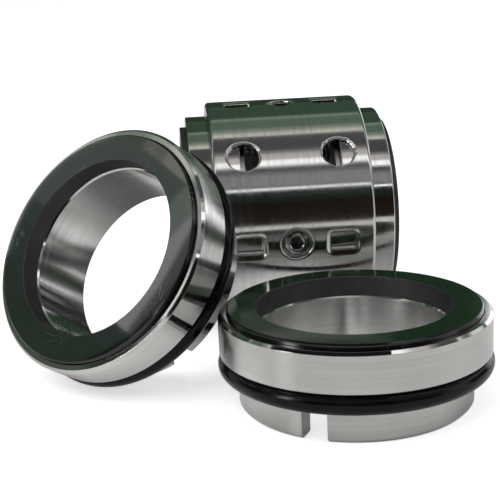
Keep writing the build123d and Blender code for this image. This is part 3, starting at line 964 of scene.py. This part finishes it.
# a dark cloth hangs beyond the cards' left end, in bands of (bottom, top, colour)
CLOTH_PLACE, CLOTH_HALF = -0.9, 0.6
CLOTH = [
    (0.0, 0.42, (0.09, 0.12, 0.09)),
    (0.42, 0.48, (0.10, 0.14, 0.11)),
    (0.48, 0.56, (0.14, 0.18, 0.15)),
    (0.56, 1.2, (0.3, 0.35, 0.31)),
]
# and strips in front of it, as (Y, Z) outlines, are what the leaning face shows
STRIP_PLACE = -0.8
WHITE_EDGE = [(-0.041, 0.51), (-0.049, 0.47), (-0.052, 0.44), (-0.056, 0.4)]
BLACK_EDGE = [(-0.0585, 0.485), (-0.0605, 0.45), (-0.062, 0.4)]
STRIPS = [
    ([(0.008, 0.45), (0.2, 0.45), (0.2, 0.75), (0.008, 0.75)], (0.27, 0.32, 0.28)),
    ([(-0.02, 0.62), (0.008, 0.62), (0.005, 0.49), (-0.024, 0.49)], (0.5, 0.57, 0.5)),
    ([(-0.03, 0.56), (-0.02, 0.58), (-0.02, 0.49), (-0.03, 0.4), *WHITE_EDGE[::-1]], (0.95, 0.95, 0.95)),
    ([(-0.052, 0.56), (-0.03, 0.56), *WHITE_EDGE, *BLACK_EDGE[::-1]], (0.27, 0.27, 0.27)),
    (
        [(-0.066, 0.62), (-0.052, 0.62), (-0.052, 0.56), *BLACK_EDGE]
        + [(-0.05, 0.36), (-0.04, 0.335), (-0.14, 0.33), (-0.14, 0.44), (-0.066, 0.44)],
        (0.01, 0.012, 0.012),
    ),
    ([(-0.12, 0.44), (-0.066, 0.44), (-0.066, 0.53), (-0.12, 0.53)], (1.6, 1.6, 1.6)),
    (
        [(0.3, 0.35), (0.3, 0.65), (0.105, 0.6), (0.11, 0.576), (0.121, 0.545)]
        + [(0.125, 0.51), (0.123, 0.47), (0.115, 0.435), (0.102, 0.4), (0.09, 0.375)],
        (1.2, 1.25, 1.22),
    ),
]
FLAG_HEIGHT = 0.02
FLAG = [(-0.045, -0.1), (-0.045, -0.125), (-0.01, -0.145), (0.022, -0.148), (0.022, -0.118), (-0.01, -0.112)]

panels = []
for low, high, colour in CLOTH:
    panels.append((upright((CLOTH_PLACE, -CLOTH_HALF), (CLOTH_PLACE, CLOTH_HALF), low, high), colour))
for outline, colour in STRIPS:
    panels.append(([(STRIP_PLACE, y, z) for y, z in outline], colour))
# a soft box low on the left, which the O-rings catch
panels.append((upright((-0.76, -0.33), (-0.6, -0.41), 0.06, 0.41), (10.0, 10.0, 10.0)))
# a white card and a dark one on the far right, which the leaning head's side shows
panels.append((upright((0.24, 0.54), (0.89, 0.5), -0.03, 0.32), (1.7, 1.75, 1.8)))
panels.append((upright((0.9, -0.1), (0.9, 0.42), FLOOR, 0.3), (0.04, 0.05, 0.04)))
# a small dark flag over the flat seat's near rim
panels.append(([(x, y, FLAG_HEIGHT) for x, y in FLAG], (0.012, 0.012, 0.012)))
for index, (corners, colour) in enumerate(panels):
    reflected_card(f"panel_{index + 1}", corners, [tuple(range(len(corners)))], colour)

REFLECTED_FLOOR_LIT, REFLECTED_FLOOR_SHADE = (0.8, 0.79, 0.78, 1.0), (0.02, 0.013, 0.01, 1.0)
PAINTED_SHADE_GREY, PALE_FLOOR = (0.3, 0.3, 0.3, 1.0), (0.8, 0.8, 0.8, 1.0)
PAINTED_SHADE_PLACE = (-0.06, -0.01, FLOOR)
# painted light: glowing spots on the floor, seen only in reflections, under the leaning seat and behind it:
# (place, inner radius, outer radius, strength)
PAINTED_GLOW_SPOTS = [((-0.05, -0.078, FLOOR), 0.02, 0.04, 0.3), ((0.0, -0.038, FLOOR), 0.01, 0.03, 0.6)]
CAMERA_GLOW = 0.58


def floor_look():
    """Pale floor: the camera sees it white outside the shadow, and steel sees it darker and uneven, with
    painted shade and painted light on it.
    """
    look = Look("floor_pale", roughness=1.0, specular_ior_level=0.0)
    look.shader.inputs["Emission Color"].default_value = (1.0, 1.0, 1.0, 1.0)
    seen = look.node("LightPath").outputs
    x, y, _ = look.node("SeparateXYZ", {0: look.place()}).outputs
    # painted shade: the floor seen in reflections turns dark far out towards -Y
    reflected_floor = look.mix(look.ramp(y, -0.75, -0.4), REFLECTED_FLOOR_SHADE, REFLECTED_FLOOR_LIT)
    # painted shade: a darker patch, seen only in reflections, lies on the floor under the back of the leaning
    # seat
    reflected_floor = look.mix(look.ramp(look.distance(PAINTED_SHADE_PLACE), 0.02, 0.04), PAINTED_SHADE_GREY, reflected_floor)
    look.set("Base Color", look.mix(seen["Is Glossy Ray"], PALE_FLOOR, reflected_floor))
    # light gathers in streaks on the floor inside the flat seat's bore
    gathered = look.ramp(look.distance(tuple(FLAT.translation)), 0.024, 0.028, 0.35, 0.0)
    across = look.node("CombineXYZ", {0: x}).outputs[0]
    streaks = look.ramp(look.noise(across, 170.0, 1.0), 0.4, 0.62, -0.8, 1.6)
    glow = look.math("MULTIPLY", gathered, streaks)
    # painted light: the glowing spots add to the floor's glow
    for place, inner, outer, strength in PAINTED_GLOW_SPOTS:
        glow = look.math("ADD", glow, look.ramp(look.distance(place), inner, outer, strength, 0.0))
    glow = look.math("MULTIPLY", seen["Is Glossy Ray"], glow)
    shown = look.math("MULTIPLY", seen["Is Camera Ray"], CAMERA_GLOW)
    look.set("Emission Strength", look.math("ADD", shown, glow))
    return look.material


FLOOR_HALF = 40.0
corners = [(x * FLOOR_HALF, y * FLOOR_HALF, FLOOR) for x, y in ((-1, -1), (1, -1), (1, 1), (-1, 1))]
stage_object("floor", corners, [(0, 1, 2, 3)], floor_look())


def studio_world(light_level):
    """White world for the camera, reflections and glass, and a softer one for light."""
    world = bpy.data.worlds.new("studio")
    bpy.context.scene.world = world
    world.use_nodes = True
    nodes, links = world.node_tree.nodes, world.node_tree.links
    nodes.clear()
    path = nodes.new("ShaderNodeLightPath").outputs
    seen = path["Is Camera Ray"]
    for ray in ("Is Glossy Ray", "Is Transmission Ray"):
        either = nodes.new("ShaderNodeMath")
        either.operation = "MAXIMUM"
        links.new(seen, either.inputs[0])
        links.new(path[ray], either.inputs[1])
        seen = either.outputs[0]
    level = nodes.new("ShaderNodeMapRange")
    level.inputs["To Min"].default_value = light_level
    links.new(seen, level.inputs["Value"])
    background = nodes.new("ShaderNodeBackground")
    background.inputs["Color"].default_value = (1.0, 1.0, 1.0, 1.0)
    links.new(level.outputs["Result"], background.inputs["Strength"])
    out = nodes.new("ShaderNodeOutputWorld")
    links.new(background.outputs[0], out.inputs[0])


studio_world(0.55)


def lamp(name, place, size, power):
    """Square soft light that looks at the middle and isn't seen in reflections."""
    light = bpy.data.lights.new(name, "AREA")
    light.size = size
    light.energy = power
    obj = bpy.data.objects.new(name, light)
    obj.location = place
    obj.rotation_euler = (-Vector(place)).to_track_quat("-Z", "Y").to_euler()
    obj.visible_glossy = False
    bpy.context.scene.collection.objects.link(obj)


lamp("key", (-0.7, -0.7, 1.1), 0.9, 9.0)
lamp("fill", (0.9, -0.5, 0.8), 0.9, 4.0)

# ---------------------------------------------------------------- camera

CAMERA_PLACE = (-0.038935, -0.361786, 0.076348)
CAMERA_WAY, CAMERA_ROLL, CAMERA_LENS = (0.07165, 0.96781, -0.24130), -0.0456, 77.68


def photo_camera():
    """Camera at the photograph's viewing angle."""
    data = bpy.data.cameras.new("camera")
    data.sensor_width = 36.0
    data.lens = CAMERA_LENS
    data.clip_start = 0.01
    forward = Vector(CAMERA_WAY).normalized()
    level_right = forward.cross(Vector((0, 0, 1))).normalized()
    level_up = level_right.cross(forward)
    right = level_right * math.cos(CAMERA_ROLL) + level_up * math.sin(CAMERA_ROLL)
    turned = Matrix((right, right.cross(forward), -forward)).transposed().to_4x4()
    camera = bpy.data.objects.new("camera", data)
    camera.matrix_world = Matrix.Translation(CAMERA_PLACE) @ turned
    bpy.context.scene.collection.objects.link(camera)
    return camera


bpy.context.scene.camera = photo_camera()
bpy.context.scene.view_settings.view_transform = "Standard"
